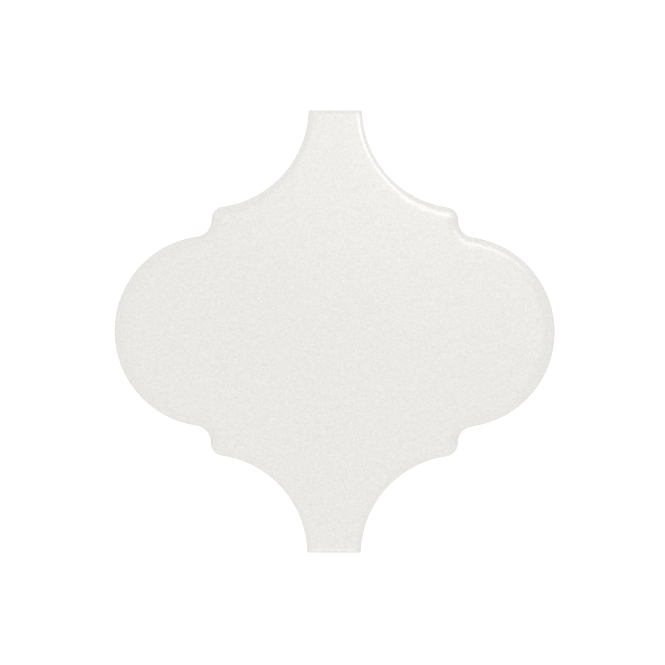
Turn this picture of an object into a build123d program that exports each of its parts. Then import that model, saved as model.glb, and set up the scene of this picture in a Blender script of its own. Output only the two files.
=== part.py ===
# A glazed ceramic wall tile in the lantern shape of arabesque tiling, in millimetres.
# Laid tiles lock together: each lobe lies in a scallop of the next tile, one joint away.
# The tile lies on its back, glazed face up, with its origin under the middle of the face.
import os
from math import acos, degrees, floor, sqrt

from build123d import *

os.makedirs("parts", exist_ok=True)

# The face
tile_height = 120.0  # from neck end to neck end, along Y
tile_width = 119.5  # from lobe to lobe, along X
neck_width = 14.5  # the flat end of a neck
lobe_radius = 25.9  # the big round sides
shoulder_radius = 3.45  # the small knuckle between a scallop and a lobe
joint = 1.1  # the even gap between laid tiles, which the outline leaves all round
thickness = 8.5

# The pressed edges
edge_roll = 2.4  # the soft roll of the face down into the curved sides
neck_roll = 1.0  # the tighter roll at the two neck ends
back_bevel = 0.5  # the broken edge all round the back

# The keying relief of the back
relief_depth = 0.8
relief_draft = 20.0  # how far its walls lean, in degrees, to leave the press
land_width = 5.0  # the flat border that the relief leaves
rib_width = 2.6
rib_pitch = 7.8

# A neighbour's centre lies here, so that the edge is point-symmetric about half the way,
# and a scallop is concentric with the neighbour's lobe.
neighbour = Vector((tile_width + neck_width) / 2 + joint, (tile_height + joint) / 2)
scallop_radius = lobe_radius + joint
hollow_radius = shoulder_radius + joint
lobe_centre = Vector(tile_width / 2 - lobe_radius, 0)
scallop_centre = neighbour - lobe_centre

# The shoulder's knuckle touches the scallop, and touches the neighbour's hollow at the
# middle of the joint. The tile's own hollow is that knuckle turned half round.
knuckle_reach = scallop_radius + shoulder_radius
middle_reach = shoulder_radius + joint / 2
to_middle = neighbour / 2 - scallop_centre
swing = acos(
    (knuckle_reach**2 + to_middle.length**2 - middle_reach**2)
    / (2 * knuckle_reach * to_middle.length)
)
to_knuckle = to_middle.normalized().rotate(Axis.Z, -degrees(swing))
knuckle_centre = scallop_centre + to_knuckle * knuckle_reach
hollow_centre = neighbour - knuckle_centre

# Where the arcs of the upper right quarter meet
neck_half = scallop_centre.X - sqrt(scallop_radius**2 - (joint / 2) ** 2)
neck_corner = Vector(neck_half, tile_height / 2)
scallop_end = scallop_centre + to_knuckle * scallop_radius
knuckle_end = knuckle_centre + (hollow_centre - knuckle_centre).normalized() * shoulder_radius
lobe_start = lobe_centre + (hollow_centre - lobe_centre).normalized() * lobe_radius
lobe_tip = Vector(tile_width / 2, 0)

with BuildSketch() as face_outline:
    with BuildLine():
        Line((0, tile_height / 2), neck_corner)
        RadiusArc(neck_corner, scallop_end, -scallop_radius)
        RadiusArc(scallop_end, knuckle_end, shoulder_radius)
        RadiusArc(knuckle_end, lobe_start, -hollow_radius)
        RadiusArc(lobe_start, lobe_tip, lobe_radius)
        mirror(about=Plane.YZ)
        mirror(about=Plane.XZ)
    make_face()

# What the press punch takes out of the back: a sunk field, less the straight ribs that
# stand in it. Their number is odd, so that one is central.
ribs_each_side = floor((tile_width / 2 - land_width) / rib_pitch)
with BuildPart() as back_relief:
    with BuildSketch():
        add(face_outline.sketch)
        offset(amount=-land_width)
    extrude(amount=relief_depth, taper=relief_draft)
    with BuildSketch():
        with GridLocations(rib_pitch, 0, 2 * ribs_each_side + 1, 1):
            Rectangle(rib_width, tile_height)
    extrude(amount=relief_depth, taper=-relief_draft, mode=Mode.SUBTRACT)

with BuildPart() as tile:
    add(face_outline.sketch)
    extrude(amount=thickness)

    face_edges = tile.faces().sort_by(Axis.Z)[-1].edges()
    fillet(face_edges.filter_by(GeomType.LINE), radius=neck_roll)
    face_edges = tile.faces().sort_by(Axis.Z)[-1].edges()
    fillet(face_edges.filter_by(GeomType.CIRCLE), radius=edge_roll)
    chamfer(tile.faces().sort_by(Axis.Z)[0].edges(), length=back_bevel)

    add(back_relief.part, mode=Mode.SUBTRACT)

tile.part.label = "tile"
export_step(tile.part, "parts/tile.step")
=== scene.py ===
import bpy
import numpy as np
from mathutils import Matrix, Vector, geometry, noise


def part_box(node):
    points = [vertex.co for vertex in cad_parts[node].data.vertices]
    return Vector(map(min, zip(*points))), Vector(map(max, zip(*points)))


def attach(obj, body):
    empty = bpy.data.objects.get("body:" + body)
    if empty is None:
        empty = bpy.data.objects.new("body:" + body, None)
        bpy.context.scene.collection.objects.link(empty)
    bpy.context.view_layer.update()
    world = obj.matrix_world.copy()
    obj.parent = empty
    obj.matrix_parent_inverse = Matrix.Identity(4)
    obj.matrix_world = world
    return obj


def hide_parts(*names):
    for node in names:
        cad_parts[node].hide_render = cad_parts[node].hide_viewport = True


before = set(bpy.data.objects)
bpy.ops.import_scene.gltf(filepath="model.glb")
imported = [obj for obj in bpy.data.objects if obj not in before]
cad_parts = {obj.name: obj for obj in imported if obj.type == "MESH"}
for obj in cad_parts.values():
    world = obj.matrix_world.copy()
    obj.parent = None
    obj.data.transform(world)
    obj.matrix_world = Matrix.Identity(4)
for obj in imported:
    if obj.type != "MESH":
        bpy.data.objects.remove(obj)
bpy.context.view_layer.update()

# The tile. The real one is a slab of clay, pressed in a steel die and fired with a white glaze
# that melts onto its face. The die gives it its outline: four big scallops, two round lobes and
# two narrow necks, in arcs that run into each other so that tiles lock together.
mm = 0.001
low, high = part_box("tile")
tile_width = high.x - low.x
tile_height = high.y - low.y
thickness = high.z - low.z
neck_width = 14.5 * mm
lobe_radius = 25.9 * mm
shoulder_radius = 3.45 * mm
joint = 1.1 * mm  # the gap that like tiles leave between them

scallop_radius = lobe_radius + joint
hollow_radius = shoulder_radius + joint
neighbour = np.array([(tile_width + neck_width) / 2 + joint, (tile_height + joint) / 2])
lobe_centre = np.array([tile_width / 2 - lobe_radius, 0])
scallop_centre = neighbour - lobe_centre

# A shoulder's knuckle touches the scallop, and the neighbour's hollow at the middle of the joint.
to_middle = neighbour / 2 - scallop_centre
knuckle_reach = scallop_radius + shoulder_radius
middle_reach = shoulder_radius + joint / 2
middle_distance = np.hypot(*to_middle)
swing = np.arccos(
    (knuckle_reach**2 + middle_distance**2 - middle_reach**2)
    / (2 * knuckle_reach * middle_distance)
)
knuckle_angle = np.arctan2(to_middle[1], to_middle[0]) - swing
knuckle_centre = scallop_centre + knuckle_reach * np.array(
    [np.cos(knuckle_angle), np.sin(knuckle_angle)]
)
hollow_centre = neighbour - knuckle_centre

# How many points draw each part of a quarter of the outline
lobe_points = 60
hollow_points = 15
knuckle_points = 14
scallop_points = 61
corner_points = 6
neck_points = 13


def meeting(centre_a, radius_a, centre_b, radius_b):
    """Where two circles touch or cross, to the left of the way from a to b."""
    way = centre_b - centre_a
    distance = np.hypot(*way)
    along = (radius_a**2 - radius_b**2 + distance**2) / (2 * distance)
    across = np.sqrt(max(radius_a**2 - along**2, 0))
    way = way / distance
    return centre_a + along * way + across * np.array([-way[1], way[0]])


def arc(centre, radius, start, end, count):
    """Points on a circle from one point of it towards another, the short way, without the last."""
    first = np.arctan2(*(start - centre)[::-1])
    turn = np.arctan2(*(end - centre)[::-1]) - first
    turn = (turn + np.pi) % (2 * np.pi) - np.pi
    angles = first + turn * np.arange(count) / count
    return centre + radius * np.column_stack([np.cos(angles), np.sin(angles)])


def neck_corner(inset, neck_inset, rounding):
    """The centre of the rounding between a scallop and a neck's flat end."""
    y = tile_height / 2 - neck_inset - rounding
    reach = scallop_radius + inset + rounding
    return np.array([scallop_centre[0] - np.sqrt(reach**2 - (scallop_centre[1] - y) ** 2), y])


def quarter(inset, neck_inset, rounding):
    """The upper right quarter of the outline, drawn in from the edge, from lobe tip to neck middle."""
    lobe, hollow = lobe_radius - inset, hollow_radius + inset
    knuckle, scallop = shoulder_radius - inset, scallop_radius + inset
    corner_centre = neck_corner(inset, neck_inset, rounding)
    tip = lobe_centre + np.array([lobe, 0])
    lobe_end = meeting(lobe_centre, lobe, hollow_centre, hollow)
    scallop_top = meeting(scallop_centre, scallop, corner_centre, rounding)
    corner_top = np.array([corner_centre[0], tile_height / 2 - neck_inset])
    runs = [arc(lobe_centre, lobe, tip, lobe_end, lobe_points)]
    if knuckle > 0:
        hollow_end = meeting(hollow_centre, hollow, knuckle_centre, knuckle)
        knuckle_end = meeting(knuckle_centre, knuckle, scallop_centre, scallop)
        runs.append(arc(hollow_centre, hollow, lobe_end, hollow_end, hollow_points))
        runs.append(arc(knuckle_centre, knuckle, hollow_end, knuckle_end, knuckle_points))
    else:
        knuckle_end = meeting(hollow_centre, hollow, scallop_centre, scallop)
        runs.append(arc(hollow_centre, hollow, lobe_end, knuckle_end, hollow_points))
    runs.append(arc(scallop_centre, scallop, knuckle_end, scallop_top, scallop_points))
    runs.append(arc(corner_centre, rounding, scallop_top, corner_top, corner_points))
    along_end = np.linspace(1, 0, neck_points)[:, None]
    runs.append(corner_top * np.hstack([along_end, np.ones_like(along_end)]))
    return np.vstack(runs)


def whole(points):
    """A quarter mirrored into the closed outline, anticlockwise from the right lobe's tip."""
    left = points[::-1][1:] * [-1, 1]
    upper = np.vstack([points, left])
    lower = upper[::-1][1:-1] * [1, -1]
    return np.vstack([upper, lower])


# The rolled edge of the face, which the die rounds and the glaze softens. It is broad round the
# lobes and shoulders, slimmer beside the necks and crisp at the two neck ends.
broad_roll = 3.38 * mm
slim_roll = 1.7 * mm
neck_roll = 1.0 * mm
broad_until = 31 * mm  # how far from the middle line the roll starts to slim down
slim_from = 44 * mm
roll_flatness = 0.8  # how deep the roll is for its width
corner_radius = 0.2 * mm
corner_tightening = 0.4  # the share of that radius which the corner loses by the top of the roll
roll_rows = 14


def smooth_step(values, start, end):
    """0 at the start and 1 at the end, easing in and out."""
    share = np.clip((values - start) / (end - start), 0, 1)
    return share * share * (3 - 2 * share)


def drop(share, depth):
    """How far the face has rolled down at a share of the roll's width from the edge."""
    short = np.clip(1 - share, 0, 1)
    return depth * (1 - np.sqrt(1 - short**2))


def lift(points, heights):
    """Flat points set at the given heights."""
    return np.column_stack([points, np.broadcast_to(heights, len(points))])


outline = whole(quarter(0, 0, corner_radius))
slimming = smooth_step(np.abs(outline[:, 1]), broad_until, slim_from)
roll_depth = roll_flatness * (broad_roll + slimming * (slim_roll - broad_roll))


def drawn_in(broad_inset, slim_inset, neck_inset, rounding):
    """The outline drawn in from the edge, further round the lobes than beside the necks."""
    broad = whole(quarter(broad_inset, neck_inset, rounding))
    slim = whole(quarter(slim_inset, neck_inset, rounding))
    return broad + slimming[:, None] * (slim - broad)


def roll_ring(turn):
    """One ring of the roll: turn is 0 at the flank and a quarter turn at the face."""
    share = 1 - np.cos(turn)
    rounding = corner_radius * (1 - corner_tightening * share)
    points = drawn_in(broad_roll * share, slim_roll * share, neck_roll * share, rounding)
    corner = neck_corner(slim_roll * share, neck_roll * share, rounding)
    past_corner = np.clip(corner - np.abs(points), 0, None) / [slim_roll, neck_roll]
    side_fall = drop(share + past_corner[:, 0], roll_depth)
    end_fall = drop(share + past_corner[:, 1], neck_roll)
    return lift(points, thickness - (side_fall + end_fall))


# The flank, where the glaze ends part of the way down in shallow waves and a few short runs,
# with a rounded lower lip. Below it the clay is bare, down to the broken edge of the back.
glaze_thickness = 0.12 * mm
glaze_lip = 0.35 * mm  # how high the rounded lower edge of the glaze is
glaze_level = 4.3 * mm
wave_length, wave_height = 11 * mm, 0.7 * mm
ripple_length, ripple_height = 2.6 * mm, 0.28 * mm
run_width, run_length = 4.5 * mm, 3.2 * mm
run_rarity = 0.35
back_bevel = 0.5 * mm
bevel_rows = 3
flank_rows = 22


def unevenness(x, y, length, layer):
    """Smooth noise between -1 and 1, in lumps of about the given length."""
    return noise.noise(Vector((x, y, layer)) / length)


def glaze_line(points):
    """The height on the flank where the glaze ends."""
    heights = []
    for x, y in points:
        wave = unevenness(x, y, wave_length, 0.3)
        ripple = unevenness(x, y, ripple_length, 4.1)
        run = max(0, unevenness(x, y, run_width, 7.7) - run_rarity)
        heights.append(
            glaze_level + wave_height * wave + ripple_height * ripple - run_length * run
        )
    return np.array(heights)


outline_glaze = glaze_line(outline)
roll = [roll_ring(turn) for turn in np.linspace(0, np.pi / 2, roll_rows)]
rings = []
for turn in np.linspace(np.pi / 2, np.pi / 6, bevel_rows):
    inset = back_bevel * (1 - np.cos(turn)) + glaze_thickness
    ring = whole(quarter(inset, inset, corner_radius))
    rings.append(lift(ring, back_bevel * (1 - np.sin(turn))))
bare_flank = whole(quarter(glaze_thickness, glaze_thickness, corner_radius))
for row in range(flank_rows):
    share = row / flank_rows
    height = back_bevel + share * (roll[0][:, 2] - back_bevel)
    covered = smooth_step(height - outline_glaze, -glaze_lip / 2, glaze_lip / 2)[:, None]
    rings.append(lift(bare_flank + covered * (outline - bare_flank), height))
rings.extend(roll)

ring_size = len(outline)
vertices = [point for ring in rings for point in ring]
faces = []
for row in range(len(rings) - 1):
    for i in range(ring_size):
        here, after = row * ring_size + i, row * ring_size + (i + 1) % ring_size
        faces.append((here, after, after + ring_size, here + ring_size))


def inside(points, loop):
    """Which points lie inside a closed outline."""
    ends = np.roll(loop, -1, axis=0)
    x, y = points[:, 0:1], points[:, 1:2]
    spans = (loop[:, 1] > y) != (ends[:, 1] > y)
    rise = np.where(ends[:, 1] == loop[:, 1], 1, ends[:, 1] - loop[:, 1])
    crossing = loop[:, 0] + (y - loop[:, 1]) / rise * (ends[:, 0] - loop[:, 0])
    return (spans & (x < crossing)).sum(1) % 2 == 1


def depth_inside(points, loop):
    """The distance from each point to a closed outline, negative outside it."""
    ends = np.roll(loop, -1, axis=0)
    way = ends - loop
    gap = points[:, None, :] - loop[None, :, :]
    share = np.clip((gap * way).sum(2) / (way**2).sum(1), 0, 1)
    distance = np.linalg.norm(gap - share[:, :, None] * way, axis=2).min(1)
    return np.where(inside(points, loop), distance, -distance)


def closed_edges(first, count):
    """The edges of a closed loop of points that are numbered on from the first."""
    return [(first + i, first + (i + 1) % count) for i in range(count)]


def cap(points, edges, first_row, height, upward):
    """Closes a ring of the shell with a sheet whose first points are that ring's."""
    inside_edges, merge_distance = 1, 1e-5  # the kind of sheet, and how near two points are one
    flat, _, triangles, sources, _, _ = geometry.delaunay_2d_cdt(
        [Vector(point / mm) for point in points], edges, [], inside_edges, merge_distance
    )
    flat = np.array([point[:] for point in flat]) * mm
    numbers = []
    for point, z, source in zip(flat, height(flat), sources):
        ring_index = next((i for i in source if i < ring_size), None)
        if ring_index is None:
            numbers.append(len(vertices))
            vertices.append(np.array([point[0], point[1], z]))
        else:
            numbers.append(first_row * ring_size + ring_index)
    for triangle in triangles:
        corners = [numbers[i] for i in triangle]
        faces.append(corners if upward else corners[::-1])


# The face between the rolls. It was pressed flat and its glaze has run a little, so it holds
# swells a few hundredths of a millimetre deep that only a reflection shows.
face_spacing = 1.5 * mm
grid_clearance = 0.7 * face_spacing  # how far the grid of the face stays from the roll
edge_margin = 0.06 * mm  # a slim band beside the roll, which keeps the shading there clean
swell_depth = 0.04 * mm
swell_length = 19 * mm
swell_fade = 6 * mm  # how far from the roll the swells have their full depth
face_edge = rings[-1][:, :2]
columns = np.arange(-tile_width / 2, tile_width / 2, face_spacing)
lines = np.arange(-tile_height / 2, tile_height / 2, face_spacing * np.sqrt(3) / 2)
grid = np.array(
    [(x + (k % 2) * face_spacing / 2, y) for k, y in enumerate(lines) for x in columns]
)
grid = grid[depth_inside(grid, face_edge) > grid_clearance]
edge_band = drawn_in(
    broad_roll + edge_margin, slim_roll + edge_margin, neck_roll + edge_margin, corner_radius / 2
)[::2]


def face_height(points):
    """The height of the face, swells and all."""
    fade = np.clip(depth_inside(points, face_edge) / swell_fade, 0, 1)
    swell = np.array([unevenness(x, y, swell_length, 1.7) for x, y in points])
    return thickness - swell_depth * fade * (0.5 + 0.5 * swell)


face_points = np.vstack([face_edge, edge_band, grid])
cap(face_points, closed_edges(0, ring_size), len(rings) - 1, face_height, True)

# The back, pressed with a sunk field that straight ribs cross, for the adhesive to key into.
# Its walls lean, so that the tile leaves the press.
land_width = 5.0 * mm
relief_depth = 0.8 * mm
relief_draft = 0.3 * mm  # how far its walls lean
rib_width = 2.6 * mm
rib_pitch = 7.8 * mm
ribs_each_side = int((tile_width / 2 - land_width) / rib_pitch)
ribs = rib_pitch * np.arange(-ribs_each_side, ribs_each_side + 1)
back_edge = rings[0][:, :2]
field_quarter = quarter(land_width, land_width, corner_radius)
field_top = whole(field_quarter)
field_foot = whole(quarter(land_width + relief_draft, land_width + relief_draft, corner_radius))
back_points = [back_edge]
back_edges = closed_edges(0, ring_size)
for loop in (field_top, field_foot):
    back_edges += closed_edges(sum(map(len, back_points)), len(loop))
    back_points.append(loop)
for rib in ribs:
    for offset in (rib_width / 2, rib_width / 2 + relief_draft):
        for x in (rib - offset, rib + offset):
            reach = np.interp(abs(x), field_quarter[::-1, 0], field_quarter[::-1, 1], right=0)
            if reach > 0:
                start = sum(map(len, back_points))
                back_points.append(np.array([[x, -reach], [x, reach]]))
                back_edges.append((start, start + 1))


def back_height(points):
    """The height of the back: 0 on the land and the ribs, the relief's depth in the field."""
    from_rib = np.abs(points[:, 0:1] - ribs).min(1) - rib_width / 2
    into_field = np.minimum(depth_inside(points, field_top), from_rib)
    return relief_depth * np.clip(into_field / relief_draft, 0, 1)


cap(np.vstack(back_points), back_edges, 0, back_height, False)


# The finish of the tile. The face is a satin white glaze with the fine speckle and orange peel
# of an opacified glaze. Below its ragged edge the flank and back are bare, pale fired clay.
class Wire:
    """A socket of a finish, on which arithmetic adds Math nodes."""

    def __init__(self, finish, socket):
        self.finish = finish
        self.socket = socket

    def maths(self, operation, first, second):
        values = {"Value": first, "Value_001": second}
        return self.finish.node("ShaderNodeMath", {"operation": operation}, values)

    def __add__(self, other):
        return self.maths("ADD", self, other)

    def __sub__(self, other):
        return self.maths("SUBTRACT", self, other)

    def __rsub__(self, other):
        return self.maths("SUBTRACT", other, self)

    def __mul__(self, other):
        return self.maths("MULTIPLY", self, other)

    __radd__ = __add__
    __rmul__ = __mul__

    def above(self, edge, softness):
        """0 below the edge and 1 above it, with a soft step."""
        settings = {"interpolation_type": "SMOOTHSTEP"}
        values = {"Value": self, "From Min": edge - softness, "From Max": edge + softness}
        return self.finish.node("ShaderNodeMapRange", settings, values)


class Finish:
    """A material that is built as expressions on its wires."""

    def __init__(self, name):
        self.material = bpy.data.materials.new(name)
        self.material.use_nodes = True
        self.tree = self.material.node_tree
        self.surface = self.tree.nodes["Principled BSDF"]

    def node(self, kind, settings, values, result=0):
        made = self.tree.nodes.new(kind)
        for name, value in settings.items():
            setattr(made, name, value)
        self.feed(made, values)
        return Wire(self, made.outputs[result])

    def feed(self, made, values):
        sockets = {socket.identifier: socket for socket in made.inputs}
        for name, value in values.items():
            if isinstance(value, Wire):
                self.tree.links.new(value.socket, sockets[name])
            else:
                sockets[name].default_value = value

    def grain(self, size, detail=2.0, roughness=0.5):
        """Noise about 0, between -1 and 1, whose lumps are about the given size."""
        place = self.node("ShaderNodeTexCoord", {}, {}, "Object")
        values = {"Vector": place, "Scale": 1 / size, "Detail": detail, "Roughness": roughness}
        return self.node("ShaderNodeTexNoise", {}, values) * 2 - 1

    def measure(self, name):
        """A value that the mesh holds at each of its points."""
        return self.node("ShaderNodeAttribute", {"attribute_name": name}, {}, "Fac")

    def mix(self, share, first, second):
        settings = {"data_type": "RGBA"}
        values = {"Factor_Float": share, "A_Color": first, "B_Color": second}
        return self.node("ShaderNodeMix", settings, values, "Result")


glaze_light = (0.865, 0.853, 0.822, 1)
glaze_dark = (0.725, 0.719, 0.686, 1)
# The next colour, used over the arris, is painted shade of the rim, and partly thin glaze over clay.
glaze_thin_and_shaded = (0.605, 0.597, 0.566, 1)
glaze_roughness = 0.28
clay_light = (0.70, 0.655, 0.59, 1)
clay_dark = (0.56, 0.515, 0.45, 1)
clay_roughness = 0.92

fired = Finish("satin_glaze_on_clay")
speckle = fired.grain(0.52 * mm, detail=1.5, roughness=0.6)
cloud = fired.grain(3.5 * mm)
drift = fired.grain(38 * mm, detail=1.0)
peel = fired.grain(1.6 * mm)
clay_grain = fired.grain(0.4 * mm, detail=4.0, roughness=0.7)
clay_patch = fired.grain(9 * mm, detail=3.0)

# The glaze stops at the line on the flank. Where the roll is steep the glaze colour is darker: painted
# shade of the rim, and partly thinner glaze there. It is darkest over the arris, where more clay
# shows.
glazed = (fired.measure("over_glaze_line") + 0.22 * clay_grain).above(0.0, 0.12)
steepness = fired.measure("steepness")
steep = steepness.above(0.4, 0.3)
arris = steepness.above(0.6, 0.2) - steepness.above(0.92, 0.06)

# The steep term darkens the glaze: painted shade of the rim, and partly thinner glaze there.
glaze_tone_and_rim_shade = 0.5 + 0.88 * speckle + 0.04 * drift - 0.55 * steep
glaze_colour = fired.mix(arris, fired.mix(glaze_tone_and_rim_shade, glaze_dark, glaze_light), glaze_thin_and_shaded)
clay_colour = fired.mix(0.55 + 0.5 * clay_grain + 0.35 * clay_patch, clay_dark, clay_light)
glaze_relief = 0.009 * peel + 0.003 * speckle
clay_relief = 0.05 * clay_grain + 0.03 * clay_patch
surface_relief = clay_relief + glazed * (glaze_relief - clay_relief)
bump = fired.node(
    "ShaderNodeBump", {}, {"Height": surface_relief, "Distance": mm, "Strength": 1.0}
)
fired.feed(
    fired.surface,
    {
        "Base Color": fired.mix(glazed, clay_colour, glaze_colour),
        "Roughness": clay_roughness + glazed * (glaze_roughness + 0.05 * cloud - clay_roughness),
        "Normal": bump,
        "IOR": 1.5,
    },
)

# The fired piece, whose mesh also holds how far each point lies above the glaze line, and how
# steep it is.
crisp_angle = np.radians(38)
mesh = bpy.data.meshes.new("glazed_tile")
mesh.from_pydata([tuple(vertex) for vertex in vertices], [], [tuple(face) for face in faces])
mesh.validate()
mesh.update()
mesh.shade_smooth()
mesh.set_sharp_from_angle(angle=crisp_angle)
places = np.array([vertex.co[:] for vertex in mesh.vertices])
heights_over_line = mesh.attributes.new("over_glaze_line", "FLOAT", "POINT")
heights_over_line.data.foreach_set("value", (places[:, 2] - glaze_line(places[:, :2])) / mm)
slopes = mesh.attributes.new("steepness", "FLOAT", "POINT")
slopes.data.foreach_set("value", [1 - vertex.normal.z for vertex in mesh.vertices])
mesh.materials.append(fired.material)
tile = bpy.data.objects.new("glazed_tile", mesh)
bpy.context.scene.collection.objects.link(tile)
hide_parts("tile")
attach(tile, "root")

# The light table under the tile: a level sheet of opal white acrylic, lit from below and above.
# It lies a hair under the tile's back.
floor_half = 3.0
floor_drop = 0.02 * mm
floor_corners = [(-1, -1), (1, -1), (1, 1), (-1, 1)]
floor_mesh = bpy.data.meshes.new("light_table")
floor_mesh.from_pydata(
    [(x * floor_half, y * floor_half, -floor_drop) for x, y in floor_corners], [], [(0, 1, 2, 3)]
)
floor = bpy.data.objects.new("light_table", floor_mesh)
bpy.context.scene.collection.objects.link(floor)
opal = Finish("opal_white")
opal.feed(
    opal.surface,
    {
        "Base Color": (0.5, 0.5, 0.5, 1),
        "Roughness": 0.8,
        "Emission Color": (1, 1, 1, 1),
        "Emission Strength": 0.66,
    },
)
floor_mesh.materials.append(opal.material)

# Soft studio light: a white surround, a big softbox overhead, and two beyond the necks that light
# the rolls. Three more only show as reflections in the glaze: the sheen that is brightest at the
# upper right of the face, the bright line along the roll there, and the fine one at the lower neck.
surround = bpy.data.worlds.new("white_surround")
surround.use_nodes = True
surround.node_tree.nodes["Background"].inputs["Color"].default_value = (1, 1, 1, 1)
surround.node_tree.nodes["Background"].inputs["Strength"].default_value = 0.866
bpy.context.scene.world = surround


def softbox(name, place, size, radiance, target=(0, 0, 0), diffuse=True, glossy=True):
    """A square soft light, aimed at a point."""
    light = bpy.data.lights.new(name, "AREA")
    light.shape = "SQUARE"
    light.size = size
    light.energy = radiance * np.pi * size**2
    lamp = bpy.data.objects.new(name, light)
    lamp.location = place
    lamp.rotation_euler = (Vector(target) - Vector(place)).to_track_quat("-Z", "Y").to_euler()
    lamp.visible_camera = False
    lamp.visible_diffuse = diffuse
    lamp.visible_glossy = glossy
    bpy.context.scene.collection.objects.link(lamp)
    return light


softbox("overhead_softbox", (-0.1, -0.1, 1.2), 1.1, 0.38)
softbox("high_softbox", (0.036, 0.071, 0.26), 0.113, 1.58, diffuse=False)
edge_x, edge_y = 0.0655, 0.0946
edge_light = softbox(
    "edge_softbox", (edge_x, edge_y, 0.0585), 0.0915, 2.85, (edge_x, edge_y, 0), diffuse=False
)
edge_light.spread = np.radians(130)
softbox("upper_softbox", (0.0, 0.9, 0.5), 0.6, 0.68, glossy=False)
softbox("lower_softbox", (0.0, -0.9, 0.5), 0.6, 0.68, glossy=False)
softbox("foot_softbox", (0.0, -0.11, 0.12), 0.04, 6.0, diffuse=False)

# The camera looks straight down through a long lens. The tile lies a hair off the picture's
# middle and leans by a sixth of a degree, as it does in the picture.
picture_width = 180.55 * mm  # what the picture spans at the height where the rolls end
camera_height = 1.2
off_middle = (-0.58 * mm, -0.27 * mm)
lean = np.radians(0.17)
sensor_width = 36.0
camera = bpy.data.cameras.new("camera")
camera.sensor_width = sensor_width
camera.lens = sensor_width * (camera_height + roll_depth.max()) / picture_width
camera_object = bpy.data.objects.new("camera", camera)
camera_object.location = (*off_middle, thickness + camera_height)
camera_object.rotation_euler = (0, 0, lean)
bpy.context.scene.collection.objects.link(camera_object)
bpy.context.scene.camera = camera_object
bpy.context.scene.view_settings.view_transform = "Standard"
